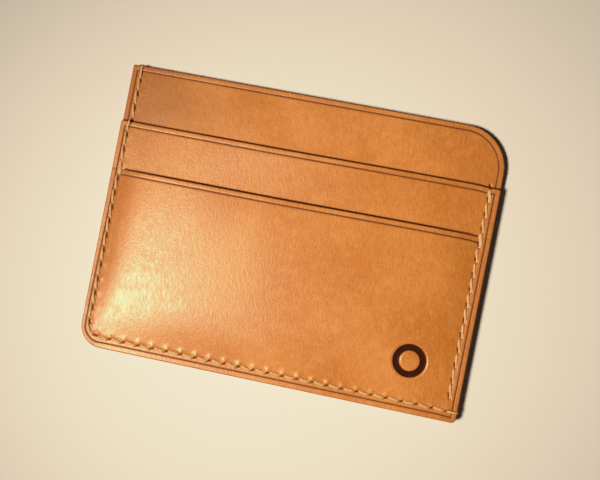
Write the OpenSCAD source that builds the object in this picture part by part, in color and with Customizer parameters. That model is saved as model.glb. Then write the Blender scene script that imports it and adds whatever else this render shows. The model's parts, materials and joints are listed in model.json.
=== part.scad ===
// Slim leather card holder: four stitched leather panels that form three pockets.
// It lies on its rear face. X runs across the width, Y from the bottom edge to the top edge,
// and Z up through the panels. The origin is under the middle of the holder, on its rear face.
// The upper pocket is T-shaped: only its arms reach the seams, and its narrower body hangs
// behind the lower pocket, held by a row of stop stitches, so the sides stay three layers thick.

/* [Holder] */
// Width of the holder
holder_w = 100; // [99:0.5:110]
// Height of the holder, from the bottom edge to the top edge
holder_h = 75; // [74:0.5:85]
// Radius of the large corner at the top right of the rear and middle panels
top_right_r = 11; // [6:0.5:12]
// Radius of the bottom left corner
bottom_left_r = 6; // [4.5:0.5:7]
// Radius of the bottom right corner
bottom_right_r = 1.2; // [0.5:0.1:2]
// Radius of the small corners at the top left and at the upper pocket's mouth
small_r = 0.8; // [0.4:0.1:1.2]

/* [Leather] */
// Thickness of each leather panel
leather_t = 1.3; // [1.2:0.1:1.6]

/* [Pockets] */
// Distance from the top edge down to the upper pocket's mouth
upper_mouth_drop = 14.9; // [13:0.1:16]
// Distance from the top edge down to the lower pocket's mouth
lower_mouth_drop = 27.65; // [26:0.05:30]
// Distance from the bottom edge up to the stop stitches under the upper pocket
stop_height = 18.5; // [16:0.5:20]
// Width of the upper pocket's body, which a bank card 85.6 wide slides into
pocket_body_w = 88; // [87:0.5:89]
// Clear height that the lower pocket leaves for cards in front of the upper pocket's body
card_room = 0.8; // [0.6:0.1:1.6]

/* [Seams] */
// Distance from the left edge to the left seam
left_inset = 2.3; // [2:0.1:2.8]
// Distance from the bottom edge to the bottom seam
bottom_inset = 3.1; // [2.5:0.1:3.4]
// Distance from the right edge to the right seam
right_inset = 2.7; // [2.3:0.1:3]
// Target distance from one stitch hole to the next
stitch_pitch = 3.85; // [3.3:0.05:4.5]
// Thickness of the seam thread
thread_d = 0.6; // [0.5:0.05:0.65]
// Length of each slanted stitch slit
slit_l = 1.6; // [1.2:0.1:2]
// Angle between each slit and the line of its seam
slit_slant = 20; // [10:1:30]

/* [Maker's mark] */
// Outer diameter of the plain ring pressed into the lower pocket
mark_d = 8.6; // [6:0.2:10]
// Width of the ring's line
mark_line = 1.7; // [1:0.1:2]
// Depth of the ring
mark_depth = 0.4; // [0.2:0.05:0.5]

/* [Hidden] */

leather_colour = [0.80, 0.50, 0.26];
khaki_thread = [0.80, 0.70, 0.50];
cream_thread = [0.93, 0.84, 0.64];

// Edges of the holder
left_x = -holder_w / 2;
right_x = holder_w / 2;
bottom_y = -holder_h / 2;
top_y = holder_h / 2;

// Mouths, and the upper pocket's body
upper_mouth_y = top_y - upper_mouth_drop;
lower_mouth_y = top_y - lower_mouth_drop;
stop_y = bottom_y + stop_height;
body_below_stop = 2.4;
body_bottom_y = stop_y - body_below_stop;

// Heights of the panels' faces
rear_top_z = leather_t;
middle_top_z = 2 * leather_t;
margin_top_z = 3 * leather_t;
pocket_roof_z = margin_top_z + card_room;

// Slopes where the lower pocket climbs from its flat margins over the upper pocket's body
side_slope_in = 3.6;
side_slope_w = 2.0;
bottom_slope_in = 4.5;
bottom_slope_w = 4.0;

// Thread, slits, and the shallow beds that the stitches are pulled into
slit_w = thread_d + 0.1;
bed_w = thread_d + 0.3;
front_bed = 0.3;
rear_bed = thread_d + 0.1;
rear_thread_z = rear_bed - thread_d / 2;
wrap_in = thread_d / 2 + 0.05;
cut = 1;

// The left and bottom seam: straight down the left side, round the corner, along the bottom
seam_left_x = left_x + left_inset;
seam_right_x = right_x - right_inset;
seam_bottom_y = bottom_y + bottom_inset;
seam_arc_r = 3.6;
arc_x = seam_left_x + seam_arc_r;
arc_y = seam_bottom_y + seam_arc_r;
mouth_hole_y = upper_mouth_y + 0.5;
top_hole_y = top_y - 3.5;
side_run = mouth_hole_y - arc_y;
arc_run = seam_arc_r * PI / 2;
bottom_run = seam_right_x - arc_x;
long_run = side_run + arc_run + bottom_run;
long_stitches = round(long_run / stitch_pitch);
strip_stitches = 3;

// The right seam, which stops at the upper pocket's mouth
right_low_y = seam_bottom_y + 3.3;
right_run = mouth_hole_y - right_low_y;
right_stitches = round(right_run / stitch_pitch);

// The stop stitches
stop_stitches = 21;
stop_half = stop_stitches * stitch_pitch / 2;

// Position along the left and bottom seam, and the direction in which it runs there
function long_point(s) =
    s < side_run ? [seam_left_x, mouth_hole_y - s]
    : s < side_run + arc_run ? arc_point((s - side_run) / arc_run * 90)
    : [arc_x + s - side_run - arc_run, seam_bottom_y];
function arc_point(a) = [arc_x - seam_arc_r * cos(a), arc_y - seam_arc_r * sin(a)];
function long_angle(s) = min(0, max(-90, (s - side_run) / arc_run * 90 - 90));

// Stitch holes, each as [x, y, direction of the seam]
strip_holes = [for (i = [0 : strip_stitches - 1])
    [seam_left_x, top_hole_y + (mouth_hole_y - top_hole_y) * i / strip_stitches, -90]];
long_holes = [for (i = [0 : long_stitches])
    let (s = long_run * i / long_stitches, p = long_point(s)) [p.x, p.y, long_angle(s)]];
left_bottom_holes = concat(strip_holes, long_holes);
right_holes = [for (i = [0 : right_stitches])
    [seam_right_x, right_low_y + right_run * i / right_stitches, 90]];
stop_holes = [for (i = [0 : stop_stitches]) [-stop_half + i * stitch_pitch, stop_y, 0]];

// Height of the face that a front stitch lies on
function face_z(y) = y > upper_mouth_y ? middle_top_z : margin_top_z;
function front_z(y) = face_z(y) - front_bed + thread_d / 2;

// Takes away a corner at (x, y), with the leather towards (sx, sy)
module corner_cut(x, y, sx, sy, r) {
    translate([x, y])
        scale([sx, sy])
            difference() {
                translate([-cut, -cut])
                    square(r + cut);
                translate([r, r])
                    circle(r, $fn = 96);
            }
}

// Outline shared by the rear and middle panels
module back_outline() {
    difference() {
        translate([left_x, bottom_y])
            square([holder_w, holder_h]);
        corner_cut(left_x, top_y, 1, -1, small_r);
        corner_cut(right_x, top_y, -1, -1, top_right_r);
        corner_cut(left_x, bottom_y, 1, 1, bottom_left_r);
        corner_cut(right_x, bottom_y, -1, 1, bottom_right_r);
    }
}

// T-shaped outline of the upper pocket
module upper_outline() {
    difference() {
        translate([left_x, lower_mouth_y])
            square([holder_w, upper_mouth_y - lower_mouth_y]);
        corner_cut(left_x, upper_mouth_y, 1, -1, small_r);
        corner_cut(right_x, upper_mouth_y, -1, -1, small_r);
    }
    translate([-pocket_body_w / 2, body_bottom_y])
        square([pocket_body_w, lower_mouth_y - body_bottom_y + cut]);
}

// Outline of the lower pocket
module lower_outline() {
    difference() {
        translate([left_x, bottom_y])
            square([holder_w, lower_mouth_y - bottom_y]);
        corner_cut(left_x, bottom_y, 1, 1, bottom_left_r);
        corner_cut(right_x, bottom_y, -1, 1, bottom_right_r);
    }
}

// Space under the lower pocket, or under its outer face when lift is the leather's thickness
module under_pocket(lift) {
    side_x = right_x - side_slope_in;
    foot_y = bottom_y + bottom_slope_in;
    low = middle_top_z + lift;
    high = pocket_roof_z + lift;
    intersection() {
        translate([0, top_y, 0])
            rotate([90, 0, 0])
                linear_extrude(holder_h + cut)
                    polygon([
                        [left_x - cut, middle_top_z], [left_x - cut, low],
                        [-side_x, low], [-side_x + side_slope_w, high],
                        [side_x - side_slope_w, high], [side_x, low],
                        [right_x + cut, low], [right_x + cut, middle_top_z]]);
        translate([left_x - cut, 0, 0])
            rotate([90, 0, 90])
                linear_extrude(holder_w + 2 * cut)
                    polygon([
                        [bottom_y - cut, middle_top_z], [bottom_y - cut, low],
                        [foot_y, low], [foot_y + bottom_slope_w, high],
                        [top_y, high], [top_y, middle_top_z]]);
    }
}

// One slanted slit through every layer for each hole in the list
module slits(holes) {
    for (h = holes)
        translate([h.x, h.y, -cut])
            rotate([0, 0, h.z + slit_slant])
                translate([-slit_l / 2, -slit_w / 2, 0])
                    cube([slit_l, slit_w, pocket_roof_z + leather_t + 2 * cut]);
}

// Shallow beds along the outer seams, from height z0 to height z1
module seam_beds(z0, z1) {
    depth = z1 - z0;
    translate([seam_left_x - bed_w / 2, arc_y, z0])
        cube([bed_w, top_y - arc_y + cut, depth]);
    translate([arc_x, arc_y, z0])
        rotate([0, 0, 180])
            rotate_extrude(angle = 90, $fn = 96)
                translate([seam_arc_r - bed_w / 2, 0])
                    square([bed_w, depth]);
    translate([arc_x, seam_bottom_y - bed_w / 2, z0])
        cube([right_x - arc_x + cut, bed_w, depth]);
    translate([seam_right_x - bed_w / 2, right_low_y - bed_w / 2, z0])
        cube([bed_w, mouth_hole_y - right_low_y + bed_w, depth]);
}

// Notches in the edges, where the thread wraps round the top and the right side
module wrap_notches() {
    reach = 2 * wrap_in;
    translate([seam_left_x - bed_w / 2, top_y - reach, -cut])
        cube([bed_w, reach + cut, margin_top_z + 2 * cut]);
    translate([right_x - reach, seam_bottom_y - bed_w / 2, -cut])
        cube([reach + cut, bed_w, margin_top_z + 2 * cut]);
}

// Bed along the stop stitches, from height z0 up
module stop_bed(z0, depth) {
    translate([-stop_half - bed_w / 2, stop_y - bed_w / 2, z0])
        cube([2 * stop_half + bed_w, bed_w, depth]);
}

// A straight length of thread between two points, run on a little past each
module thread_rod(a, b) {
    run = b - a;
    reach = norm(run);
    past = thread_d / 4;
    translate(a)
        rotate([0, acos(run.z / reach), atan2(run.y, run.x)])
            translate([0, 0, -past])
                rotate([0, 0, 22.5])
                    cylinder(d = thread_d, h = reach + 2 * past, $fn = 8);
}

// Saddle stitches between neighbouring places on the front and rear, and a leg at each place,
// which is a hole or a notch in the edge
module saddle_stitches(holes) {
    for (i = [1 : len(holes) - 1]) {
        a = holes[i - 1];
        b = holes[i];
        z = front_z((a.y + b.y) / 2);
        thread_rod([a.x, a.y, z], [b.x, b.y, z]);
        thread_rod([a.x, a.y, rear_thread_z], [b.x, b.y, rear_thread_z]);
    }
    for (i = [0 : len(holes) - 1]) {
        h = holes[i];
        near = holes[max(0, i - 1)];
        next = holes[min(len(holes) - 1, i + 1)];
        leg_top = max(front_z((h.y + near.y) / 2), front_z((h.y + next.y) / 2));
        thread_rod([h.x, h.y, rear_thread_z], [h.x, h.y, leg_top]);
    }
}

module rear_panel() {
    color(leather_colour)
        difference() {
            linear_extrude(leather_t)
                back_outline();
            slits(left_bottom_holes);
            slits(right_holes);
            seam_beds(-cut, rear_bed);
            wrap_notches();
        }
}

module middle_panel() {
    color(leather_colour)
        difference() {
            translate([0, 0, rear_top_z])
                linear_extrude(leather_t)
                    back_outline();
            slits(left_bottom_holes);
            slits(right_holes);
            slits(stop_holes);
            intersection() {
                seam_beds(middle_top_z - front_bed, middle_top_z + cut);
                translate([left_x, upper_mouth_y, 0])
                    cube([holder_w, holder_h, margin_top_z + cut]);
            }
            stop_bed(rear_top_z - cut, cut + rear_bed);
            wrap_notches();
        }
}

module upper_pocket() {
    color(leather_colour)
        difference() {
            translate([0, 0, middle_top_z])
                linear_extrude(leather_t)
                    upper_outline();
            slits(left_bottom_holes);
            slits(right_holes);
            slits(stop_holes);
            seam_beds(margin_top_z - front_bed, margin_top_z + cut);
            stop_bed(margin_top_z - front_bed, front_bed + cut);
        }
}

module lower_pocket() {
    mark_x = right_x - 14.3;
    mark_y = bottom_y + 13.35;
    color(leather_colour)
        difference() {
            intersection() {
                linear_extrude(pocket_roof_z + leather_t + cut)
                    lower_outline();
                under_pocket(leather_t);
            }
            under_pocket(0);
            slits(left_bottom_holes);
            slits(right_holes);
            seam_beds(margin_top_z - front_bed, margin_top_z + cut);
            wrap_notches();
            translate([mark_x, mark_y, pocket_roof_z + leather_t - mark_depth])
                difference() {
                    cylinder(d = mark_d, h = mark_depth + cut, $fn = 96);
                    cylinder(d = mark_d - 2 * mark_line, h = mark_depth + cut, $fn = 96);
                }
        }
}

module left_bottom_thread() {
    over_top = [seam_left_x, top_y - wrap_in, -90];
    over_side = [right_x - wrap_in, seam_bottom_y, 0];
    color(khaki_thread)
        saddle_stitches(concat([over_top], left_bottom_holes, [over_side]));
}

module right_thread() {
    color(cream_thread)
        saddle_stitches(right_holes);
}

module stop_thread() {
    front = margin_top_z - front_bed + thread_d / 2;
    back = rear_top_z + rear_bed - thread_d / 2;
    color(cream_thread)
        union() {
            for (i = [1 : stop_stitches]) {
                a = stop_holes[i - 1];
                b = stop_holes[i];
                thread_rod([a.x, a.y, front], [b.x, b.y, front]);
                thread_rod([a.x, a.y, back], [b.x, b.y, back]);
            }
            for (h = stop_holes)
                thread_rod([h.x, h.y, back], [h.x, h.y, front]);
        }
}

rear_panel();
middle_panel();
upper_pocket();
lower_pocket();
left_bottom_thread();
right_thread();
stop_thread();
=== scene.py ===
import json
import math
import random

import bpy
import numpy as np
from mathutils import Matrix, Quaternion, Vector

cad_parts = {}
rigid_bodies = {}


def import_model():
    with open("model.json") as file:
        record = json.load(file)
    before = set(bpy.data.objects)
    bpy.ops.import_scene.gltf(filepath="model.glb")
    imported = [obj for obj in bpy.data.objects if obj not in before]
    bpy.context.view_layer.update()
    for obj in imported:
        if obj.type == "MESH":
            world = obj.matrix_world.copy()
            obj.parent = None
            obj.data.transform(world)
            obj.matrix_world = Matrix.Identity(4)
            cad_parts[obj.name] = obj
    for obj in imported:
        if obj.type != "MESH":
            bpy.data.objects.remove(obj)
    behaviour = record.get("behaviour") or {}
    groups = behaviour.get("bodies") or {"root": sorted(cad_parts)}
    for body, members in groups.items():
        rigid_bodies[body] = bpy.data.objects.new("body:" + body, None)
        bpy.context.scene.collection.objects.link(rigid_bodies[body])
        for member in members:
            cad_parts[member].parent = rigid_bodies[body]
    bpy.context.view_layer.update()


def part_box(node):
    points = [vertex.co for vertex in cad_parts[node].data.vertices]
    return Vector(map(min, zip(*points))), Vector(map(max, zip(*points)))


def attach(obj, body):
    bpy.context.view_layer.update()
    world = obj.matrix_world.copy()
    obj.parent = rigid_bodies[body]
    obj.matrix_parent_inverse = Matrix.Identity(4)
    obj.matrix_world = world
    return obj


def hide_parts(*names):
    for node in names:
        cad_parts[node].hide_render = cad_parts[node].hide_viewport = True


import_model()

# The leather is stiff and keeps its formed shape, so each panel is a sheet whose two faces are
# height fields, worked out in millimetres in the row frame and turned into metres at the end.
MM = 0.001


def span(node):
    """Lowest and highest corner of a CAD node, in millimetres."""
    lo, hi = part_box(node)
    return np.array(lo) / MM, np.array(hi) / MM


# ---------------------------------------------------------------- sizes from the frame
rear_lo, rear_hi = span("rear_panel")
LEFT, BOTTOM = rear_lo[:2]
RIGHT, TOP = rear_hi[:2]
LEATHER = rear_hi[2]
MIDDLE_FACE = 2 * LEATHER
MARGIN_FACE = 3 * LEATHER
upper_lo, upper_hi = span("upper_pocket")
_, lower_hi = span("lower_pocket")
UPPER_MOUTH = upper_hi[1]
BODY_BOTTOM = upper_lo[1]
LOWER_MOUTH = lower_hi[1]
long_lo, _ = span("left_bottom_thread")
right_lo, right_hi = span("right_thread")
stop_lo, stop_hi = span("stop_thread")
HALF_THREAD = (right_hi[0] - right_lo[0]) / 2
SEAM_LEFT = long_lo[0] + HALF_THREAD
SEAM_BOTTOM = long_lo[1] + HALF_THREAD
SEAM_RIGHT = (right_lo[0] + right_hi[0]) / 2
RIGHT_LOW = right_lo[1] + HALF_THREAD
MOUTH_HOLE = right_hi[1] - HALF_THREAD
STOP_Y = (stop_lo[1] + stop_hi[1]) / 2

# Corner radii, and half the width of the upper pocket's hidden body
TOP_RIGHT_R = 11.0
BOTTOM_LEFT_R = 6.0
BOTTOM_RIGHT_R = 1.2
SMALL_R = 0.5
BODY_HALF = 44.0

# Rounding of the cut edges: outer faces, the rear face, and the faces inside
OUTER_ROUND = 0.34
REAR_ROUND = 0.40
INNER_ROUND = 0.12

# Seams: the arc at the bottom left corner, the stitches and the beds they are pulled into
SEAM_ARC_R = 3.6
PITCH = 3.85
TOP_HOLE = TOP - 3.5
STOP_COUNT = round((stop_hi[0] - stop_lo[0] - 2 * HALF_THREAD) / PITCH) + 1
THREAD_R = 0.28
LONG_THREAD_R = 0.32
REAR_THREAD_Z = 0.40
SLIT_SLANT = math.radians(20)
PIT_LENGTH, PIT_WIDTH, PIT_DEPTH = 0.88, 0.17, 0.5
FLAT_PUCKER = 0.06
FRONT_BED = 0.07
REAR_BED = 0.5
BED_WIDTH = 0.36

# Pressed line along the edges, and the pressed ring
CREASE_IN = 1.38
MARK_X, MARK_Y = RIGHT - 14.3, BOTTOM + 13.35
MARK_OUTER, MARK_LINE, MARK_DEPTH = 4.3, 1.7, 0.4
MARK_MIDDLE = MARK_OUTER - MARK_LINE / 2
MARK_SHOULDER = 0.15

# A distance that is out of reach of every edge and seam
FAR = 99.0

# Widths of the fine mesh along an edge with a pressed line, and along an edge with a seam too
LINE_BAND = 2.4
SEAM_BAND = 4.7

# Lattice lines close to an edge, set closer at the rounded edge and at the pressed line. Further in
# the steps are about FINE_STEP. The mesh is fine or coarse by whole groups of GROUP steps.
RIM = np.array([0, .02, .07, .15, .26, .40, .60, .82, 1.02, 1.18, 1.27, 1.33, 1.38, 1.43,
                1.49, 1.58, 1.74, 1.92, 2.10, 2.30, 2.50])
GROUP = 5
FINE_STEP = 0.2


# ---------------------------------------------------------------- small maths
def smooth(v, lo, hi):
    """0 at lo and below, 1 at hi and above, with a smooth rise between."""
    t = np.clip((v - lo) / (hi - lo), 0, 1)
    return t * t * (3 - 2 * t)


def bell(v, width):
    """1 at v = 0, falling to about a third at the width."""
    return np.exp(-(v / width) ** 2)


def waves(x, y, seed, size, count=9):
    """Gentle undulation between about -1 and 1, with features of the given size in mm."""
    rng = np.random.default_rng(seed)
    total = np.zeros_like(x)
    for _ in range(count):
        turn = rng.uniform(0, math.pi)
        length = size * rng.uniform(0.7, 1.6)
        phase = rng.uniform(0, 2 * math.pi)
        total += np.sin((x * math.cos(turn) + y * math.sin(turn)) * 2 * math.pi / length + phase)
    return total / math.sqrt(count * 2)


# ---------------------------------------------------------------- stitch holes
def seam_holes():
    """The holes of the long seam and of the right seam, each as x, y and direction of travel."""
    arc_x, arc_y = SEAM_LEFT + SEAM_ARC_R, SEAM_BOTTOM + SEAM_ARC_R
    side = MOUTH_HOLE - arc_y
    arc = SEAM_ARC_R * math.pi / 2
    total = side + arc + SEAM_RIGHT - arc_x
    holes = [(SEAM_LEFT, TOP_HOLE + (MOUTH_HOLE - TOP_HOLE) * i / 3, -math.pi / 2)
             for i in range(3)]
    count = round(total / PITCH)
    for i in range(count + 1):
        s = total * i / count
        if s < side:
            holes.append((SEAM_LEFT, MOUTH_HOLE - s, -math.pi / 2))
        elif s < side + arc:
            a = (s - side) / SEAM_ARC_R
            holes.append((arc_x - SEAM_ARC_R * math.cos(a), arc_y - SEAM_ARC_R * math.sin(a),
                          a - math.pi / 2))
        else:
            holes.append((arc_x + s - side - arc, SEAM_BOTTOM, 0.0))
    run = MOUTH_HOLE - RIGHT_LOW
    count = round(run / PITCH)
    right = [(SEAM_RIGHT, RIGHT_LOW + run * i / count, math.pi / 2) for i in range(count + 1)]
    return holes, right


def unsteady(holes, seed):
    """Hand-punched holes: each is a little off its mark."""
    rng = random.Random(seed)
    return [(x + rng.uniform(-0.05, 0.05), y + rng.uniform(-0.07, 0.07),
             turn + rng.uniform(-0.06, 0.06)) for x, y, turn in holes]


def seam_drift(y):
    """The left seam strays inwards towards the top."""
    return -0.2 + 0.2 * smooth(y, 2, 14) + 0.3 * smooth(y, UPPER_MOUTH - 2, UPPER_MOUTH + 1)


def drifted(holes):
    """The long seam strays on the left side, and runs low along the bottom."""
    return [(x + seam_drift(y) * (x < LEFT + 4), y - 0.25 * (y < SEAM_BOTTOM + 1), turn)
            for x, y, turn in holes]


def nudged(holes):
    """The right seam sits a little high, apart from its last stitch over the mouth."""
    return [(x - 0.05, y + 0.2 - 0.4 * (y > UPPER_MOUTH), turn) for x, y, turn in holes]


long_pricked, right_pricked = seam_holes()
LONG_HOLES = drifted(unsteady(long_pricked, 11))
RIGHT_HOLES = nudged(unsteady(right_pricked, 12))
OUTER_HOLES = LONG_HOLES + RIGHT_HOLES
STOP_HOLES = [(stop_lo[0] + HALF_THREAD + i * PITCH, STOP_Y, 0.0) for i in range(STOP_COUNT)]


def seam_offset(x, y):
    """Distance inwards from the long seam and from the right seam, negative outside them."""
    arc_x, arc_y = SEAM_LEFT + SEAM_ARC_R, SEAM_BOTTOM + SEAM_ARC_R
    left, bottom, right = x - SEAM_LEFT, y - SEAM_BOTTOM, SEAM_RIGHT - x
    corner = SEAM_ARC_R - np.hypot(x - arc_x, y - arc_y)
    offset = np.where((x < arc_x) & (y < arc_y), corner, np.minimum(left, bottom))
    return offset, np.where(y > RIGHT_LOW - 0.8, right, FAR)


def stitch_relief(x, y, holes, dome):
    """Height that the stitches press into a face, and painted shade in their open slits. dome(x, y)
    is the pucker height.
    """
    lift, dark = np.zeros_like(x), np.zeros_like(x)
    for hx, hy, turn in holes:
        near = (abs(x - hx) < 3) & (abs(y - hy) < 3)
        dx, dy = x[near] - hx, y[near] - hy
        along = dx * math.cos(turn) + dy * math.sin(turn)
        inward = dy * math.cos(turn) - dx * math.sin(turn)
        u = along * math.cos(SLIT_SLANT) + inward * math.sin(SLIT_SLANT)
        v = inward * math.cos(SLIT_SLANT) - along * math.sin(SLIT_SLANT)
        pit = np.exp(-(u / PIT_LENGTH) ** 4 - (v / PIT_WIDTH) ** 2)
        # A pucker is highest at its slit and falls away inwards
        puff = bell(along, 0.85) * bell(inward - 0.2, np.where(inward > 0.2, 1.1, 0.45))
        puff = puff * dome(hx, hy)
        lift[near] += puff - PIT_DEPTH * pit
        # Painted shade in the open slit, where the hole lies in shadow
        dark[near] = np.maximum(dark[near], 0.88 * np.exp(-(u / 0.90) ** 6 - (v / 0.19) ** 4))
    return lift, dark


def beds(x, y, depth):
    """The shallow channel that the stitches are pulled into."""
    long_seam, right_seam = seam_offset(x, y)
    right_seam = np.where(y < MOUTH_HOLE + 0.6, right_seam, FAR)
    return -depth * np.maximum(bell(long_seam, BED_WIDTH), bell(right_seam, BED_WIDTH))


# ---------------------------------------------------------------- panels as height fields
class Lattice:
    """A lattice over a rectangle, denser near the edges, with its corners bent round. The from_
    values are the distances from the edges, measured before the corners are bent."""

    def __init__(self, lo, hi, corners, stops_x=(), stops_y=()):
        self.xs = self.lines(lo[0], hi[0], stops_x)
        self.ys = self.lines(lo[1], hi[1], stops_y)
        gx, gy = np.meshgrid(self.xs, self.ys, indexing="ij")
        self.from_left, self.from_right = gx - lo[0], hi[0] - gx
        self.from_bottom, self.from_top = gy - lo[1], hi[1] - gy
        x, y = gx.copy(), gy.copy()
        for (sx, sy), r in corners.items():
            cx = hi[0] - r if sx > 0 else lo[0] + r
            cy = hi[1] - r if sy > 0 else lo[1] + r
            a, b = (gx - cx) * sx, (gy - cy) * sy
            inside = (a > 0) & (b > 0)
            m = np.maximum(np.maximum(a, b), 1e-9)
            turn = np.where(a >= b, b / m, 2 - a / m) * math.pi / 4
            x = np.where(inside, cx + sx * m * np.cos(turn), x)
            y = np.where(inside, cy + sy * m * np.sin(turn), y)
        self.x, self.y = x, y

    @staticmethod
    def lines(lo, hi, stops):
        """Lattice lines from lo to hi, with a group of steps ending exactly at each stop."""
        marks = [lo + RIM[-1], *stops, hi - RIM[-1]]
        parts = [lo + RIM[:-1]]
        for a, b in zip(marks[:-1], marks[1:]):
            steps = GROUP * math.ceil((b - a) / FINE_STEP / GROUP)
            parts.append(np.linspace(a, b, steps + 1)[:-1])
        return np.concatenate([*parts, (hi - RIM)[::-1]])

    def cells(self, test):
        """For each group of lattice steps, whether test(x, y) holds at its middle."""
        half = GROUP // 2
        x = (self.xs[half::GROUP][: (len(self.xs) - 1) // GROUP])[:, None]
        y = (self.ys[half::GROUP][: (len(self.ys) - 1) // GROUP])[None, :]
        return np.broadcast_to(test(x, y), (x.shape[0], y.shape[1])).copy()

    def edge(self):
        """Distance from the nearest edge."""
        sides = np.minimum(self.from_left, self.from_right)
        return np.minimum(sides, np.minimum(self.from_bottom, self.from_top))


def face_loops(fine, keep):
    """Faces over the lattice, as (i, j) corners: quads in fine cells, and one face in each other
    cell, which takes in the extra corners of its fine neighbours. Also the boundary's steps."""
    faces, boundary = [], []
    nx, ny = keep.shape

    def state(i, j):
        inside = 0 <= i < nx and 0 <= j < ny and keep[i, j]
        return (inside, inside and fine[i, j])

    for ci in range(nx):
        for cj in range(ny):
            if not keep[ci, cj]:
                continue
            i0, j0 = ci * GROUP, cj * GROUP
            i1, j1 = i0 + GROUP, j0 + GROUP
            steps = range(GROUP)
            sides = [
                (state(ci, cj - 1), [(i0 + k, j0) for k in range(GROUP + 1)]),
                (state(ci + 1, cj), [(i1, j0 + k) for k in range(GROUP + 1)]),
                (state(ci, cj + 1), [(i1 - k, j1) for k in range(GROUP + 1)]),
                (state(ci - 1, cj), [(i0, j1 - k) for k in range(GROUP + 1)]),
            ]
            if fine[ci, cj]:
                faces += [[(i0 + a, j0 + b), (i0 + a + 1, j0 + b), (i0 + a + 1, j0 + b + 1),
                           (i0 + a, j0 + b + 1)] for a in steps for b in steps]
            else:
                loop = []
                for (_, split), nodes in sides:
                    loop += nodes[:-1] if split else nodes[:1]
                faces.append(loop)
            for (inside, _), nodes in sides:
                if not inside:
                    nodes = nodes if fine[ci, cj] else [nodes[0], nodes[-1]]
                    boundary += list(zip(nodes[:-1], nodes[1:]))
    return faces, boundary


WALL_LEVELS = (0.25, 0.5, 0.75)
EDGE_SHADE = 0.55
TOP_SIDE, BOTTOM_SIDE = 1, 0
GRAIN_SIDE, FLESH_SIDE, RING_FLOOR = 0, 1, 2


class Sheet:
    """The corners and polygons of a closed sheet between the height fields top and bottom."""

    def __init__(self, lattice, top, bottom, burn_and_shade_level):
        self.x, self.y = lattice.x, lattice.y
        self.top, self.bottom, self.burn_and_shade_level = top, bottom, burn_and_shade_level
        self.verts, self.shades, self.ids = [], [], {}
        self.polygons, self.sides = [], []

    def vertex(self, key, point, shade):
        if key not in self.ids:
            self.ids[key] = len(self.verts)
            self.verts.append(point)
            self.shades.append(shade)
        return self.ids[key]

    def on_face(self, side, node):
        z = self.top[node] if side == TOP_SIDE else self.bottom[node]
        shade = self.burn_and_shade_level[node] if side == TOP_SIDE else 0.0
        return self.vertex((side, node), (self.x[node], self.y[node], z), shade)

    def on_wall(self, level, node):
        z = self.top[node] + (self.bottom[node] - self.top[node]) * level
        return self.vertex((level, node), (self.x[node], self.y[node], z), EDGE_SHADE)

    def column(self, node):
        """From the top face down the edge to the bottom face."""
        walls = [self.on_wall(level, node) for level in WALL_LEVELS]
        return [self.on_face(TOP_SIDE, node)] + walls + [self.on_face(BOTTOM_SIDE, node)]

    def add_faces(self, loops):
        for side in (TOP_SIDE, BOTTOM_SIDE):
            for loop in loops:
                corners = [self.on_face(side, node) for node in loop]
                self.polygons.append(corners if side == TOP_SIDE else corners[::-1])
                self.sides.append(GRAIN_SIDE if side == TOP_SIDE else FLESH_SIDE)

    def add_edges(self, boundary):
        """The cut edge, which is burnished down to the bottom face's rim."""
        for p, q in boundary:
            left, right = self.column(p), self.column(q)
            for k in range(len(left) - 1):
                self.polygons.append([left[k + 1], right[k + 1], right[k], left[k]])
                self.sides.append(GRAIN_SIDE)
        for p, _ in boundary:
            self.shades[self.ids[(BOTTOM_SIDE, p)]] = EDGE_SHADE


def shaped_piece(name, points, polygons):
    """A smooth mesh object from points in millimetres, with the hand-cut stray of the mouths."""
    points = np.array(points)
    points[:, 1] += hand_cut(points[:, 0], points[:, 1])
    mesh = bpy.data.meshes.new(name)
    mesh.from_pydata((points * MM).tolist(), [], polygons)
    mesh.polygons.foreach_set("use_smooth", [True] * len(polygons))
    piece = bpy.data.objects.new(name, mesh)
    bpy.context.scene.collection.objects.link(piece)
    return piece


def panel(name, lattice, top, bottom, burn_and_shade_level, fine, keep=None):
    """A closed leather sheet between the height fields top and bottom, with burnished edges."""
    keep = np.ones(fine.shape, bool) if keep is None else keep
    loops, boundary = face_loops(fine & keep, keep)
    sheet = Sheet(lattice, top, bottom, burn_and_shade_level)
    sheet.add_faces(loops)
    sheet.add_edges(boundary)
    piece = shaped_piece(name, sheet.verts, sheet.polygons)
    piece.data.polygons.foreach_set("material_index", sheet.sides)
    # The attribute carries the burnt lines and edges together with painted shade
    tint = piece.data.attributes.new("burn_and_shade_level", "FLOAT", "POINT")
    tint.data.foreach_set("value", sheet.shades)
    piece.data.validate()
    return piece


def hand_cut(x, y):
    """The mouths are cut by eye: they rise a little to the right, and dip at the right seam."""
    band = smooth(y, -12, 4) * (1 - smooth(y, 27, 34))
    return band * (0.45 * smooth(x, -14, 42) - 0.20 * smooth(x, 44, 47) - 0.20)


def edge_drop(d, r):
    """How far a rounded edge of radius r has dropped at a distance d inside the edge."""
    c = np.clip(1 - d / r, 0, 1)
    return r * (1 - np.sqrt(1 - c * c))


def crease(d, depth=0.065):
    """A pressed line along an edge: a narrow groove in a wider, much shallower dip."""
    return -depth * bell(d - CREASE_IN, 0.15) - 0.15 * depth * bell(d - CREASE_IN, 0.40)


def line_shade(d):
    """How deeply the pressed line is burnt, with a faint glow on both sides."""
    return 0.58 * np.exp(-((d - CREASE_IN) / 0.17) ** 4) + 0.14 * bell(d - CREASE_IN, 0.36)


def rim_shade(d):
    """Burnishing that reaches over the rounded edge."""
    return 0.40 * (1 - smooth(d, 0.04, 0.28))


def painted_mouth_shadow(away):
    """Painted shadow along the foot of a mouth, where its edge stands over the panel behind it."""
    return 0.85 * np.exp(-(away / 0.34) ** 4)


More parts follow.
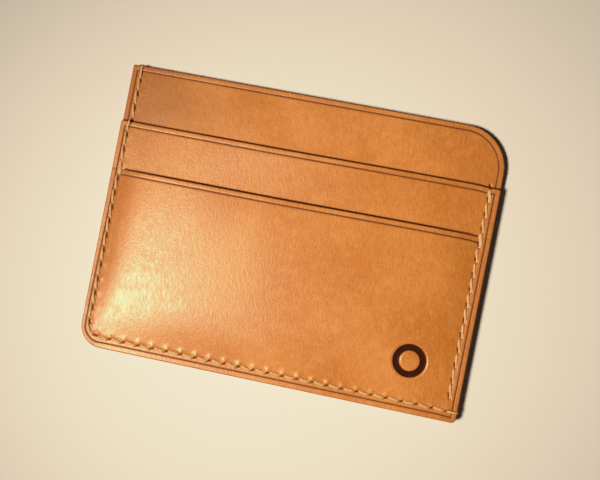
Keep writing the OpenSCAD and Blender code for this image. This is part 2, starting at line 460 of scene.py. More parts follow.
def painted_left_shade(x, depth, reach):
    """Painted shade where the light falls off: darker towards the left, strongest at the left end.
    """
    return depth * (1 - smooth(x, LEFT + 1, LEFT + 1 + reach))


def shading(dark, line, rim):
    """The darkest of the painted shade in the slits, the pressed line and the burnished rim."""
    return np.maximum(np.maximum(dark, line_shade(line)), rim_shade(rim))


def edge_distance(x, y):
    return np.minimum(np.minimum(x - LEFT, RIGHT - x), np.minimum(y - BOTTOM, TOP - y))


def no_pucker(x, y):
    return 0.0


def flat_pucker(x, y):
    """Where the leather lies flat, the stitches hardly lift it."""
    return FLAT_PUCKER


BACK_CORNERS = {(-1, 1): SMALL_R, (1, 1): TOP_RIGHT_R, (-1, -1): BOTTOM_LEFT_R,
                (1, -1): BOTTOM_RIGHT_R}
LOWER_CORNERS = {(-1, -1): BOTTOM_LEFT_R, (1, -1): BOTTOM_RIGHT_R}
UPPER_CORNERS = {(-1, 1): SMALL_R, (1, 1): SMALL_R}


def rear_panel():
    """The back sheet. Its grain side faces down, so it is built upside down and turned over."""
    g = Lattice((LEFT, BOTTOM), (RIGHT, TOP), BACK_CORNERS)
    d = g.edge()
    lift, dark = stitch_relief(g.x, g.y, OUTER_HOLES, no_pucker)
    rear = edge_drop(d, REAR_ROUND) - crease(d) - np.minimum(lift, 0) - beds(g.x, g.y, REAR_BED)
    inner = LEATHER - edge_drop(d, INNER_ROUND)
    fine = g.cells(lambda x, y: edge_distance(x, y) < SEAM_BAND)
    piece = panel("rear_leather", g, -rear, -inner, shading(dark, d, d), fine)
    mesh = piece.data
    points = np.empty(len(mesh.vertices) * 3)
    mesh.vertices.foreach_get("co", points)
    points[2::3] *= -1
    mesh.vertices.foreach_set("co", points)
    mesh.flip_normals()
    return piece


def compartment_gape(x, y):
    """The compartment behind the middle panel stands open by a hair along the top."""
    gape = 0.26 * smooth(y, UPPER_MOUTH, TOP) * smooth(x, LEFT + 6, 12)
    return gape * (1 - 0.5 * smooth(x, RIGHT - 14, RIGHT))


def middle_panel():
    """The sheet whose top strip shows above the upper pocket."""
    g = Lattice((LEFT, BOTTOM), (RIGHT, TOP), BACK_CORNERS)
    d = g.edge()
    strip = g.y > UPPER_MOUTH - 1.5
    holes = [hole for hole in OUTER_HOLES if hole[1] > UPPER_MOUTH]
    lift, dark = stitch_relief(g.x, g.y, holes, flat_pucker)
    roll = 0.05 * waves(g.x, g.y, 3, 22) * smooth(g.y, UPPER_MOUTH, UPPER_MOUTH + 4)
    raised = compartment_gape(g.x, g.y) + roll
    pressed = np.where(strip, crease(d) + beds(g.x, g.y, FRONT_BED) + lift, 0)
    top = MIDDLE_FACE + pressed - edge_drop(d, OUTER_ROUND) + raised
    bottom = LEATHER + edge_drop(d, INNER_ROUND) + raised
    shade = np.where(strip, shading(dark, d, d), 0)
    # Painted shadow under the upper pocket's mouth
    shade = np.maximum(shade, painted_mouth_shadow(g.y - UPPER_MOUTH - 0.1))
    # Painted shade towards the left end, where the light falls off
    shade = np.maximum(shade, painted_left_shade(g.x, 0.19, 38))
    fine = g.cells(lambda x, y: (edge_distance(x, y) < LINE_BAND) | (abs(y - UPPER_MOUTH) < 1.5)
                   | ((y > UPPER_MOUTH - 2) & ((x < LEFT + SEAM_BAND) | (x > RIGHT - SEAM_BAND))))
    return panel("middle_leather", g, top, bottom, shade, fine)


def upper_gape(x, y):
    """The upper pocket's mouth stands open most in its middle, and its body follows."""
    inner = smooth(x, -47, -4) * (1 - smooth(x, 4, 46.5))
    return inner * (0.20 * smooth(y, -14, 8) + 0.75 * smooth(y, 8, UPPER_MOUTH + 2))


def upper_pocket():
    """The T-shaped pocket: arms between the seams, and a body behind the lower pocket."""
    g = Lattice((LEFT, BODY_BOTTOM), (RIGHT, UPPER_MOUTH), UPPER_CORNERS,
                stops_x=(-BODY_HALF, BODY_HALF), stops_y=(LOWER_MOUTH,))
    d = np.minimum(np.minimum(g.from_left, g.from_right), g.from_top)
    arms = g.y > LOWER_MOUTH - 1.0
    holes = [hole for hole in OUTER_HOLES if LOWER_MOUTH - 1 < hole[1] < MOUTH_HOLE + 1]
    lift, dark = stitch_relief(g.x, g.y, holes, flat_pucker)
    roll = 0.04 * waves(g.x, g.y, 5, 24) * smooth(g.y, LOWER_MOUTH, LOWER_MOUTH + 4)
    raised = upper_gape(g.x, g.y) + roll
    # A faint dip where the arms butt against the lower pocket's margins
    butt = 0.05 * np.where(abs(g.x) > BODY_HALF + 0.3, bell(g.y - LOWER_MOUTH, 0.12), 0.0)
    top = MARGIN_FACE + np.where(arms, crease(d) + beds(g.x, g.y, FRONT_BED) + lift, 0)
    top = top - edge_drop(d, OUTER_ROUND) - butt + raised
    bottom = MIDDLE_FACE + edge_drop(d, INNER_ROUND) + raised
    # Under the lower pocket the body is pressed thinner, down to what that pocket leaves free
    free = np.maximum(MIDDLE_FACE + pocket_form(g.x, g.y) - 0.04, MIDDLE_FACE + 0.3)
    covered = smooth(LOWER_MOUTH - g.y, 1.5, 4.0)
    top = top - covered * np.maximum(top - free, 0)
    bottom = np.where(covered > 0, np.minimum(bottom, top - 0.25), bottom)
    shade = np.where(arms, shading(dark, d, d), 0)
    # Painted shadow under the lower pocket's mouth
    shade = np.maximum(shade, painted_mouth_shadow(g.y - LOWER_MOUTH - 0.1) * (abs(g.x) < BODY_HALF + 2.5))
    # Painted shade towards the left end, where the light falls off
    shade = np.maximum(shade, painted_left_shade(g.x, 0.09, 24))
    step = g.cells(lambda x, y: (y > LOWER_MOUTH) | (abs(x) < BODY_HALF))
    fine = g.cells(lambda x, y: (y > LOWER_MOUTH - 1)
                   & ((abs(x) > RIGHT - SEAM_BAND) | (y > UPPER_MOUTH - LINE_BAND)
                      | (y < LOWER_MOUTH + 1)))
    return panel("upper_pocket_leather", g, top, bottom, shade, fine, step)


def climb(away, width, power):
    """The rise of a formed panel with the distance away from its seam."""
    return 1 - np.exp(-(np.clip(away, 1e-6, None) / width) ** power)


def pocket_form(x, y):
    """How far the lower pocket's face stands above its margins: a short shoulder beside the
    seams, then a long climb over the upper pocket's body, and a swell where cards stretched it."""
    left, right, foot = x - SEAM_LEFT, SEAM_RIGHT - x, y - SEAM_BOTTOM
    side = climb(left, 13.0, 1.3) * climb(right, 16.0, 1.1) * climb(foot, 13.9, 1.2)
    swell = np.exp(-((x + 15) / 70) ** 2 - ((y - 10) / 14) ** 2)
    shoulder = climb(left, 3.4, 1.4) * climb(right, 4.0, 1.3) * climb(foot, 7.0, 1.2)
    return side * (1.28 + 0.25 * swell) + 0.80 * shoulder


def mark_relief(x, y):
    """The pressed ring: a flat floor between two short walls, and a faint lip round it."""
    beyond = abs(np.hypot(x - MARK_X, y - MARK_Y) - MARK_MIDDLE) - MARK_LINE / 2
    sunk = 1 - smooth(beyond, -0.28, 0.0)
    shoulder = np.clip(1 - (beyond + 0.05) / 0.5, 0, 1) ** 1.3
    lip = 0.03 * bell(beyond - 0.55, 0.3)
    return -(MARK_DEPTH - MARK_SHOULDER) * sunk - MARK_SHOULDER * shoulder + lip


def scorch_ring(piece):
    """Gives the floor of the pressed ring its own material, a lattice step short of its walls."""
    for face in piece.data.polygons:
        away = math.hypot(face.center.x / MM - MARK_X, face.center.y / MM - MARK_Y)
        inside = MARK_LINE / 2 - abs(away - MARK_MIDDLE)
        if face.material_index == GRAIN_SIDE and inside > FINE_STEP:
            face.material_index = RING_FLOOR


def pocket_pucker(x, y):
    """The formed leather puckers between the stitches, most along the bottom and to the left."""
    low = smooth(-y, 5, 32)
    return 0.05 + 0.17 * low * (1 - 0.55 * smooth(x, 10, 45))


def ruled_line(x, y, sides):
    """Distance from the pressed line's edge: it is ruled by hand, so it strays a little."""
    near_left = 1 - smooth(x, LEFT + 0.5, LEFT + 8)
    near_right = smooth(x, RIGHT - 5, RIGHT - 0.5)
    stray = 0.25 * near_left * smooth(-y, -5, 25) + 0.1 * near_right
    return sides + stray - 0.17 * (1 - near_left - near_right)


def lower_pocket():
    """The front sheet: flat margins butted against the upper pocket's arms, and a formed face."""
    g = Lattice((LEFT, BOTTOM), (RIGHT, LOWER_MOUTH), LOWER_CORNERS)
    sides = np.minimum(np.minimum(g.from_left, g.from_right), g.from_bottom)
    mouth = np.where((g.x > SEAM_LEFT) & (g.x < SEAM_RIGHT), g.from_top, FAR)
    ruled = ruled_line(g.x, g.y, sides)
    lift, dark = stitch_relief(g.x, g.y, OUTER_HOLES, pocket_pucker)
    form = pocket_form(g.x, g.y) + 0.03 * waves(g.x, g.y, 8, 26) * smooth(sides, 4, 12)
    butt = np.where(abs(g.x) > BODY_HALF + 1.5, 0.05 * bell(g.from_top, 0.12),
                    edge_drop(g.from_top, OUTER_ROUND))
    pressed = crease(ruled) + crease(mouth) + beds(g.x, g.y, FRONT_BED) + lift
    top = MARGIN_FACE + form + pressed + mark_relief(g.x, g.y)
    top = top - edge_drop(sides, OUTER_ROUND) - butt
    bottom = MIDDLE_FACE + form + edge_drop(np.minimum(sides, g.from_top), INNER_ROUND)
    rim = np.minimum(sides, np.where(abs(g.x) < BODY_HALF + 2.5, g.from_top, FAR))
    shade = np.maximum(shading(dark, ruled, rim), line_shade(mouth))
    # Painted shade beside the left seam, where the light falls off
    shade = np.maximum(shade, painted_left_shade(g.x, 0.16, 9))
    fine = g.cells(lambda x, y: (x < LEFT + 5.2) | (x > RIGHT - 5.2) | (y < BOTTOM + 5.7)
                   | (y > LOWER_MOUTH - LINE_BAND)
                   | (np.hypot(x - MARK_X, y - MARK_Y) < MARK_OUTER + 1.2))
    piece = panel("lower_pocket_leather", g, top, bottom, shade, fine)
    scorch_ring(piece)
    return piece


# ---------------------------------------------------------------- thread
def front_height(x, y):
    """Height of the face under the front stitches, which bridge the upper pocket's mouth."""
    return MARGIN_FACE - LEATHER * smooth(y, UPPER_MOUTH - 0.05, UPPER_MOUTH + 0.75)


def at(hole, along, out, z, thick=1.0):
    """A point given along the seam from a hole, outwards from the seam, and by its height."""
    x, y, turn = hole
    px = x + along * math.cos(turn) + out * math.sin(turn)
    py = y + along * math.sin(turn) - out * math.cos(turn)
    return [px, py, z, thick]


def short_stitch(a, b):
    """Along the bottom the thread shows only between one slit's end and the next one's start."""
    route = [(a, 0.55, -0.10, -1.2, 0.9), (a, 0.62, -0.12, -0.42, 0.95),
             (a, 0.95, -0.12, -0.14, 1.15), (a, 1.40, -0.05, -0.05, 1.25),
             (b, -1.40, 0.05, -0.05, 1.25), (b, -0.95, 0.12, -0.14, 1.15),
             (b, -0.62, 0.12, -0.42, 0.95), (b, -0.55, 0.10, -1.2, 0.9)]
    return [at(hole, along, out, MARGIN_FACE + above, thick)
            for hole, along, out, above, thick in route]


def front_stitch(a, b, shift=0.0):
    """A stitch rises thinly past the outer side of one slit, swells, and dives at the near end
    of the next. Each point has its own thickness. Along the bottom the stitches are short."""
    runs_along_bottom = abs(a[2]) < 0.5
    if runs_along_bottom:
        return short_stitch(a, b)
    route = [(a, -0.60, 0.30, -1.2, 0.8), (a, -0.60, 0.36, -0.42, 0.75),
             (a, -0.15, 0.40, -0.20, 0.80), (a, 0.50, 0.34, -0.10, 0.92),
             (a, 1.20, 0.20, -0.03, 1.08), (b, -1.95, 0.08, -0.01, 1.15),
             (b, -1.30, 0.02, -0.06, 1.05), (b, -0.90, -0.02, -0.32, 0.9),
             (b, -0.82, -0.02, -1.2, 0.8)]
    points = []
    for hole, along, out, above, thick in route:
        p = at(hole, along, out + shift, 0, thick)
        p[2] = front_height(p[0], p[1]) + above
        points.append(p)
    return points


def rear_stitch(a, b):
    """A stitch on the rear, sunk into its bed so that the holder lies flat on its leather."""
    route = [(a, 0.25, -0.10, 1.4), (a, 0.35, -0.12, 0.75), (a, 0.75, -0.10, REAR_THREAD_Z + 0.04),
             (a, 1.50, -0.02, REAR_THREAD_Z), (b, -1.50, 0.06, REAR_THREAD_Z),
             (b, -0.30, 0.16, REAR_THREAD_Z + 0.04), (b, 0.05, 0.16, 0.75), (b, 0.10, 0.16, 1.4)]
    return [at(hole, along, out, z) for hole, along, out, z in route]


def edge_wrap(hole, reach):
    """Thread that leaves a hole, runs over the nearest edge, and comes back along the rear."""
    sign = 1 if reach > 0 else -1
    z = front_height(hole[0], hole[1])
    near, far = sign * 0.35, reach - sign * 0.12
    route = [(near, 0.05, z - 1.2), (near, 0.05, z - 0.1), (near + sign * 0.6, 0.03, z + 0.20),
             (reach - sign * 0.55, 0.0, z + 0.14), (far, 0.0, z - 0.25),
             (reach - sign * 0.10, 0.0, z / 2), (far, 0.0, 0.62),
             (reach - sign * 0.55, 0.0, REAR_THREAD_Z + 0.02),
             (near + sign * 0.6, 0.03, REAR_THREAD_Z), (near, 0.05, 0.8), (near, 0.05, 1.5)]
    return [at(hole, along, out, height) for along, out, height in route]


def flowing(points, step=0.16):
    """Points about a step apart, along a Catmull-Rom curve through the given ones."""
    p = np.array(points)
    p = np.vstack([2 * p[0] - p[1], p, 2 * p[-1] - p[-2]])
    out = []
    for i in range(1, len(p) - 2):
        count = max(2, math.ceil(np.linalg.norm((p[i + 1] - p[i])[:3]) / step))
        for t in np.arange(count) / count:
            out.append(0.5 * (2 * p[i] + (p[i + 1] - p[i - 1]) * t
                              + (2 * p[i - 1] - 5 * p[i] + 4 * p[i + 1] - p[i + 2]) * t ** 2
                              + (3 * p[i] - p[i - 1] - 3 * p[i + 1] + p[i + 2]) * t ** 3))
    out.append(p[-2])
    return np.array(out)


# Plies, the length over which they go once round, their ridges, and the sides of the tube
PLIES = 3
PLY_LAY = 2.6
PLY_RIDGE = 0.11
THREAD_SIDES = 12


def tube(points, radius, verts, faces):
    """Adds a twisted thread of that radius along the points: plies show as slanting ridges."""
    path = flowing(points)
    path, thick = path[:, :3], path[:, 3] * radius
    ahead = np.gradient(path, axis=0)
    ahead /= np.linalg.norm(ahead, axis=1)[:, None]
    up = np.cross(ahead[0], (0.3, 0.5, 0.8))
    run, first = 0.0, len(verts)
    angles = np.arange(THREAD_SIDES) * 2 * math.pi / THREAD_SIDES
    for k in range(len(path)):
        up = up - ahead[k] * np.dot(up, ahead[k])
        up /= np.linalg.norm(up)
        side = np.cross(ahead[k], up)
        if k:
            run += np.linalg.norm(path[k] - path[k - 1])
        twist = angles - run * 2 * math.pi / PLY_LAY
        lobes = thick[k] * (1 + PLY_RIDGE * np.cos(PLIES * twist))
        for a, r in zip(angles, lobes):
            verts.append(path[k] + r * (math.cos(a) * up + math.sin(a) * side))
    rings = len(path)
    for k in range(rings - 1):
        for a in range(THREAD_SIDES):
            b = (a + 1) % THREAD_SIDES
            row, nxt = first + k * THREAD_SIDES, first + (k + 1) * THREAD_SIDES
            faces.append([row + a, row + b, nxt + b, nxt + a])
    faces.append([first + a for a in range(THREAD_SIDES)][::-1])
    faces.append([first + (rings - 1) * THREAD_SIDES + a for a in range(THREAD_SIDES)])


def thread_piece(name, strands, radius=THREAD_R):
    """One piece from all the strands of a thread, each a list of points."""
    verts, faces = [], []
    for points in strands:
        tube(points, radius, verts, faces)
    piece = shaped_piece(name, verts, faces)
    piece.data.validate()
    return piece


def saddle_strands(holes, shift):
    """The thread's two halves, which take turns on the front and the rear of each step."""
    strands = []
    for half in (0, 1):
        points = []
        for i in range(len(holes) - 1):
            a, b = holes[i], holes[i + 1]
            points += front_stitch(a, b, shift) if (i + half) % 2 == 0 else rear_stitch(a, b)
        strands.append(points)
    return strands


def crossing(holes, y):
    """The two holes of an upright seam that have y between them."""
    for a, b in zip(holes[:-1], holes[1:]):
        if (a[1] - y) * (b[1] - y) < 0 and abs(a[0] - b[0]) < 1:
            return a, b


def long_thread():
    """Down the left side and along the bottom, over the edge at both ends, with a second stitch
    over the lower mouth."""
    strands = saddle_strands(LONG_HOLES, 0.06)
    strands.append(edge_wrap(LONG_HOLES[0], -(TOP - LONG_HOLES[0][1])))
    strands.append(edge_wrap(LONG_HOLES[-1], RIGHT - LONG_HOLES[-1][0]))
    strands.append(front_stitch(*crossing(LONG_HOLES, LOWER_MOUTH), shift=-0.30))
    return thread_piece("left_bottom_stitching", strands, LONG_THREAD_R)


def right_thread():
    """Up the right side, with second stitches over both mouths."""
    strands = saddle_strands(RIGHT_HOLES, -0.16)
    strands.append(front_stitch(*RIGHT_HOLES[-2:], shift=0.14))
    strands.append(front_stitch(*crossing(RIGHT_HOLES, LOWER_MOUTH), shift=0.12))
    return thread_piece("right_stitching", strands)


def stop_thread():
    """The hidden stitches that close the upper pocket: they lie flat in their beds."""
    front, within, back = MARGIN_FACE + 0.1, MARGIN_FACE - 0.8, LEATHER + 0.35
    strands = []
    for half in (0, 1):
        points = []
        for i in range(len(STOP_HOLES) - 1):
            a, b = STOP_HOLES[i], STOP_HOLES[i + 1]
            z = front if (i + half) % 2 == 0 else back
            off = 0.2 if half else -0.2
            points += [at(a, 0.3, off, within), at(a, 0.6, off, z), at(a, 1.9, 0.0, z),
                       at(b, -0.6, off, z), at(b, -0.3, off, within)]
        strands.append(points)
    return thread_piece("stop_stitching", strands)


# ---------------------------------------------------------------- materials
class Nodes:
    """A material's node tree, with short ways to add and join nodes."""

    def __init__(self, name):
        self.material = bpy.data.materials.new(name)
        self.material.use_nodes = True
        self.tree = self.material.node_tree
        self.tree.nodes.clear()
        out = self.add("ShaderNodeOutputMaterial")
        self.shader = self.add("ShaderNodeBsdfPrincipled")
        self.join(self.shader.outputs["BSDF"], out.inputs["Surface"])

    def add(self, kind, **settings):
        node = self.tree.nodes.new(kind)
        for key, value in settings.items():
            setattr(node, key, value)
        return node

    def join(self, a, b):
        self.tree.links.new(a, b)

    def place(self, turn=0.0, stretch=(1, 1, 1), offset=(0, 0, 0)):
        """The surface's own place in millimetres, turned, stretched and moved."""
        coords = self.add("ShaderNodeTexCoord")
        mapping = self.add("ShaderNodeMapping", vector_type="TEXTURE")
        mapping.inputs["Scale"].default_value = [s * MM for s in stretch]
        mapping.inputs["Rotation"].default_value = (0, 0, turn)
        mapping.inputs["Location"].default_value = [o * MM for o in offset]
        self.join(coords.outputs["Object"], mapping.inputs["Vector"])
        return mapping.outputs["Vector"]

    def noise(self, place, scale, detail=2.0, rough=0.5, warp=0.0):
        node = self.add("ShaderNodeTexNoise")
        self.join(place, node.inputs["Vector"])
        node.inputs["Scale"].default_value = scale
        node.inputs["Detail"].default_value = detail
        node.inputs["Roughness"].default_value = rough
        node.inputs["Distortion"].default_value = warp
        return node.outputs["Fac"]

    def cells(self, place, scale, feature="F1"):
        node = self.add("ShaderNodeTexVoronoi", feature=feature)
        self.join(place, node.inputs["Vector"])
        node.inputs["Scale"].default_value = scale
        return node.outputs["Distance"]

    def math(self, operation, a, b=0.0, clamp=False):
        node = self.add("ShaderNodeMath", operation=operation, use_clamp=clamp)
        for socket, value in zip(node.inputs, (a, b)):
            if isinstance(value, (int, float)):
                socket.default_value = value
            else:
                self.join(value, socket)
        return node.outputs[0]

    def ramp(self, value, lo, hi, out_lo=0.0, out_hi=1.0):
        node = self.add("ShaderNodeMapRange", interpolation_type="SMOOTHSTEP")
        self.join(value, node.inputs["Value"])
        for socket, number in zip(node.inputs[1:5], (lo, hi, out_lo, out_hi)):
            socket.default_value = number
        return node.outputs["Result"]

    def mix(self, factor, a, b, blend="MIX"):
        node = self.add("ShaderNodeMix", data_type="RGBA", blend_type=blend)
        for socket, value in ((node.inputs["Factor"], factor), (node.inputs[6], a),
                              (node.inputs[7], b)):
            if isinstance(value, (int, float)):
                socket.default_value = value
            elif isinstance(value, tuple):
                socket.default_value = (*value, 1.0)
            else:
                self.join(value, socket)
        return node.outputs[2]

    def burn_and_shade_level(self):
        """How deeply each place is burnt, together with the shade painted in, as the panels' meshes
        carry it.
        """
        return self.add("ShaderNodeAttribute", attribute_name="burn_and_shade_level").outputs["Fac"]

    def bump(self, height, distance, under=None):
        node = self.add("ShaderNodeBump")
        node.inputs["Strength"].default_value = 1.0
        node.inputs["Distance"].default_value = distance * MM
        self.join(height, node.inputs["Height"])
        if under is not None:
            self.join(under, node.inputs["Normal"])
        return node.outputs["Normal"]


# Leather: three tans, the brown of pressed lines, rims and painted shade, the char of deep burns
# and of the darkest painted shade, the pressed ring's floor, and what a wrinkle or pore multiplies
# the tan by
TAN_LIGHT = (0.690, 0.290, 0.074)
TAN_DEEP = (0.580, 0.210, 0.038)
TAN_PALE = (0.780, 0.370, 0.112)
BROWNED_AND_SHADE = (0.170, 0.038, 0.002)
BURNT_AND_SHADE = (0.040, 0.010, 0.002)
STAMP = (0.050, 0.008, 0.003)
VEIN = (0.86, 0.80, 0.72)
FLESH_DARK, FLESH_LIGHT = (0.42, 0.20, 0.08), (0.60, 0.34, 0.16)
KHAKI_LIGHT, KHAKI_DARK = (0.82, 0.53, 0.27), (0.54, 0.31, 0.13)
CREAM_LIGHT, CREAM_DARK = (0.88, 0.64, 0.39), (0.58, 0.34, 0.16)


def tan_colour(n, cloud, mottle, wrinkles, fine):
    """Clouds and mottling of three tans, darker in the wrinkles and pores."""
    colour = n.mix(n.ramp(cloud, 0.34, 0.68), TAN_DEEP, TAN_LIGHT)
    colour = n.mix(n.ramp(mottle, 0.45, 0.80, 0.0, 0.35), colour, TAN_PALE)
    colour = n.mix(n.ramp(wrinkles, 0.34, 0.62, 1.0, 0.0), colour, VEIN, "MULTIPLY")
    colour = n.mix(n.ramp(fine, 0.32, 0.60, 0.8, 0.0), colour, VEIN, "MULTIPLY")
    return n.mix(n.ramp(fine, 0.50, 0.70, 0.0, 0.4), colour, TAN_PALE)


def burnished(n, colour, burn_and_shade):
    """The colour, browned and then charred as the burn and the painted shade deepen."""
    colour = n.mix(n.math("MULTIPLY", burn_and_shade, 2.0, clamp=True), colour, BROWNED_AND_SHADE)
    return n.mix(n.ramp(burn_and_shade, 0.5, 1.0), colour, BURNT_AND_SHADE)


def leather(name, seed, stamped=False):
    """Waxed vegetable-tanned leather: mottled tan, fine pebbled grain with slanting wrinkles,
    burnt lines and edges, painted shade in the slits, under the mouths and towards the left end,
    and a shine that the grain breaks up. Scales are per millimetre."""
    n = Nodes(name)
    place = n.place(offset=(seed * 37.0, seed * 19.0, 0))
    slanted = n.place(turn=math.radians(13), stretch=(1.0, 3.6, 1.0), offset=(seed * 11.0, 5, 0))
    cloud = n.noise(place, scale=0.045, detail=3, rough=0.55)
    mottle = n.noise(place, scale=0.35, detail=4, rough=0.6)
    fine = n.noise(place, scale=3.8, detail=3, rough=0.6)
    pebbles = n.cells(place, scale=1.9, feature="SMOOTH_F1")
    wrinkles = n.noise(slanted, scale=2.0, detail=3, rough=0.55, warp=0.6)
    # Painted shade rides in the same attribute as the real burns and darkens the colour the same
    # way
    burn_and_shade = n.math("MULTIPLY", n.burn_and_shade_level(), n.ramp(mottle, 0.3, 0.7, 0.80, 1.0), clamp=True)
    colour = burnished(n, tan_colour(n, cloud, mottle, wrinkles, fine), burn_and_shade)
    rough = n.ramp(mottle, 0.3, 0.7, 0.295, 0.345)
    rough = n.math("ADD", rough, n.ramp(wrinkles, 0.35, 0.65, 0.03, -0.02))
    rough = n.math("ADD", rough, n.math("MULTIPLY", burn_and_shade, 0.4), clamp=True)
    if stamped:
        stamp = ring_mask(n)
        colour = n.mix(stamp, colour, STAMP)
        rough = n.math("ADD", rough, n.math("MULTIPLY", stamp, 0.4), clamp=True)
    n.join(colour, n.shader.inputs["Base Color"])
    n.join(rough, n.shader.inputs["Roughness"])
    n.shader.inputs["Specular IOR Level"].default_value = 0.42
    n.shader.inputs["Specular Tint"].default_value = (1.0, 0.93, 0.80, 1.0)
    normal = n.bump(wrinkles, 0.021)
    normal = n.bump(pebbles, 0.015, normal)
    n.join(n.bump(fine, 0.012, normal), n.shader.inputs["Normal"])
    return n.material


def ring_mask(n):
    """1 on the floor of the pressed ring, with a soft edge at its walls."""
    place = n.place(offset=(MARK_X, MARK_Y, 0))
    flat = n.add("ShaderNodeVectorMath", operation="MULTIPLY")
    n.join(place, flat.inputs[0])
    flat.inputs[1].default_value = (1, 1, 0)
    length = n.add("ShaderNodeVectorMath", operation="LENGTH")
    n.join(flat.outputs["Vector"], length.inputs[0])
    off = n.math("ABSOLUTE", n.math("SUBTRACT", length.outputs["Value"], MARK_MIDDLE))
    return n.ramp(off, MARK_LINE / 2 - 0.06, MARK_LINE / 2 + 0.06, 1.0, 0.0)


def stamped_floor(name):
    """The floor of the pressed ring: scorched dark and dull."""
    n = Nodes(name)
    grain = n.noise(n.place(), scale=3.0, detail=3, rough=0.6)
    colour = n.mix(n.ramp(grain, 0.3, 0.7), STAMP, tuple(0.7 * c for c in STAMP))
    n.join(colour, n.shader.inputs["Base Color"])
    n.join(n.ramp(grain, 0.3, 0.7, 0.55, 0.7), n.shader.inputs["Roughness"])
    n.shader.inputs["Specular IOR Level"].default_value = 0.06
    n.join(n.bump(grain, 0.03), n.shader.inputs["Normal"])
    return n.material


def flesh_side(name):
    """The napped inner side of the leather, browned at its rim."""
    n = Nodes(name)
    nap = n.noise(n.place(), scale=2.2, detail=5, rough=0.7)
    colour = n.mix(n.ramp(nap, 0.3, 0.7), FLESH_DARK, FLESH_LIGHT)
    colour = n.mix(n.math("MULTIPLY", n.burn_and_shade_level(), 2.0, clamp=True), colour, BROWNED_AND_SHADE)
    n.join(colour, n.shader.inputs["Base Color"])
    n.shader.inputs["Roughness"].default_value = 0.95
    n.shader.inputs["Sheen Weight"].default_value = 0.1
    n.join(n.bump(nap, 0.08), n.shader.inputs["Normal"])
    return n.material


def waxed_thread(name, light, dark):
    """Waxed linen: fine fibres, soiled in patches."""
    n = Nodes(name)
    place = n.place()
    fibres = n.noise(place, scale=7.0, detail=4, rough=0.65)
    soil = n.noise(place, scale=0.5, detail=2, rough=0.5)
    colour = n.mix(n.ramp(fibres, 0.35, 0.65), dark, light)
    colour = n.mix(n.ramp(soil, 0.4, 0.7, 0.0, 0.25), colour, dark)
    n.join(colour, n.shader.inputs["Base Color"])
    n.join(n.ramp(fibres, 0.3, 0.7, 0.62, 0.50), n.shader.inputs["Roughness"])
    n.shader.inputs["Sheen Weight"].default_value = 0.15
    n.join(n.bump(fibres, 0.03), n.shader.inputs["Normal"])
    return n.material


def plain(name, colour, roughness):
    """One even colour, for the floor."""
    n = Nodes(name)
    n.shader.inputs["Base Color"].default_value = (*colour, 1.0)
    n.shader.inputs["Roughness"].default_value = roughness
    return n.material


# ---------------------------------------------------------------- the object
flesh = flesh_side("leather_flesh_side")
for build, node, seed in ((rear_panel, "rear_panel", 1), (middle_panel, "middle_panel", 2),
                          (upper_pocket, "upper_pocket", 3), (lower_pocket, "lower_pocket", 4)):
    piece = build()
    piece.data.materials.append(leather(node + "_leather", seed, stamped=build is lower_pocket))
    piece.data.materials.append(flesh)
    if build is lower_pocket:
        piece.data.materials.append(stamped_floor("pressed_ring"))
    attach(piece, "root")
    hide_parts(node)

khaki = waxed_thread("khaki_waxed_thread", KHAKI_LIGHT, KHAKI_DARK)
cream = waxed_thread("cream_waxed_thread", CREAM_LIGHT, CREAM_DARK)
for build, node, slot, material in (
        (long_thread, "left_bottom_thread", "khaki_thread", khaki),
        (right_thread, "right_thread", "cream_thread", cream),
        (stop_thread, "stop_thread", "cream_thread", cream)):
    piece = build()
    piece.data.materials.append(material)
    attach(piece, "root")
    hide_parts(node)


# ---------------------------------------------------------------- stage, light and camera
# The floor's half width in metres, and its grey
FLOOR_HALF = 1.5
FLOOR_GREY = (0.80, 0.80, 0.79)

# The key light, in millimetres and watts: a warm soft box high up on the left
KEY_PLACE = (-300, -158, 700)
KEY_TARGET = (8, -10, 0)
KEY_SIDE = 150
KEY_POWER = 0.236
KEY_COLOUR = (1.0, 0.83, 0.63)
KEY_SPREAD = math.radians(29)
ROOM_COLOUR = (1.0, 0.86, 0.68, 1.0)
ROOM_STRENGTH = 0.03

# The camera, in millimetres: almost straight above, and turned against the holder
CAMERA_LENS = 60.0
CAMERA_SENSOR = 36.0
CAMERA_SHIFT = 1 / 1200
CAMERA_EYE = (29.2, 0.93, MARGIN_FACE + 255.6)
CAMERA_AIM = (2.56, 0.36, MARGIN_FACE)
CAMERA_ROLL = math.radians(11.16)

# Tone curve: straight up to 0.78, then a shoulder that reaches 0.97 at twice full brightness
TONES = ((0.2, 0.2), (0.4, 0.4), (0.6, 0.6), (0.78, 0.78), (0.95, 0.87), (1.2, 0.92))
BRIGHTEST = (2.0, 0.97)


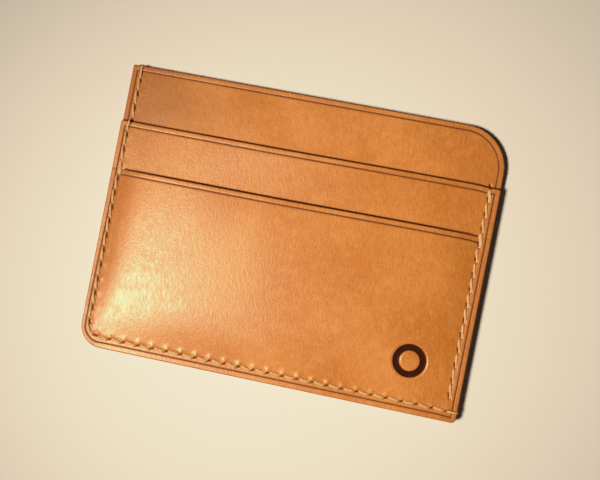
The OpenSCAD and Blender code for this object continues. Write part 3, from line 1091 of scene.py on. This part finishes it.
def floor():
    mesh = bpy.data.meshes.new("floor")
    corners = [(-FLOOR_HALF, -FLOOR_HALF, 0), (FLOOR_HALF, -FLOOR_HALF, 0),
               (FLOOR_HALF, FLOOR_HALF, 0), (-FLOOR_HALF, FLOOR_HALF, 0)]
    mesh.from_pydata(corners, [], [(0, 1, 2, 3)])
    piece = bpy.data.objects.new("floor", mesh)
    bpy.context.scene.collection.objects.link(piece)
    mesh.materials.append(plain("pale_floor", FLOOR_GREY, 0.9))


def key_light():
    light = bpy.data.lights.new("key", "AREA")
    light.shape = "SQUARE"
    light.size = KEY_SIDE * MM
    light.energy = KEY_POWER
    light.spread = KEY_SPREAD
    light.color = KEY_COLOUR
    lamp = bpy.data.objects.new("key", light)
    bpy.context.scene.collection.objects.link(lamp)
    start, end = Vector(KEY_PLACE) * MM, Vector(KEY_TARGET) * MM
    lamp.location = start
    lamp.rotation_euler = (end - start).to_track_quat("-Z", "Y").to_euler()


def room_light():
    """A faint warm fill from every side."""
    world = bpy.data.worlds.new("studio")
    world.use_nodes = True
    background = world.node_tree.nodes["Background"]
    background.inputs["Color"].default_value = ROOM_COLOUR
    background.inputs["Strength"].default_value = ROOM_STRENGTH
    bpy.context.scene.world = world


def camera():
    """Almost straight above the holder, a little to its right, and turned against it."""
    data = bpy.data.cameras.new("camera")
    data.lens, data.sensor_width = CAMERA_LENS, CAMERA_SENSOR
    data.clip_start = 0.01
    data.shift_x, data.shift_y = -CAMERA_SHIFT, CAMERA_SHIFT
    eye, aim = Vector(CAMERA_EYE) * MM, Vector(CAMERA_AIM) * MM
    ahead = (aim - eye).normalized()
    level = ahead.cross(Vector((0, 1, 0))).normalized()
    right = Quaternion(ahead, -CAMERA_ROLL) @ level
    axes = Matrix((right, right.cross(ahead), -ahead)).transposed()
    view = bpy.data.objects.new("camera", data)
    view.matrix_world = Matrix.Translation(eye) @ axes.to_4x4()
    bpy.context.scene.collection.objects.link(view)
    bpy.context.scene.camera = view


def soft_shoulder():
    """Bright tones roll off instead of clipping to white."""
    view = bpy.context.scene.view_settings
    view.view_transform = "Standard"
    view.use_curve_mapping = True
    mapping = view.curve_mapping
    mapping.use_clip = False
    combined = mapping.curves[3]
    combined.points[-1].location = BRIGHTEST
    for tone in TONES:
        combined.points.new(*tone)
    mapping.update()


floor()
key_light()
room_light()
soft_shoulder()
camera()
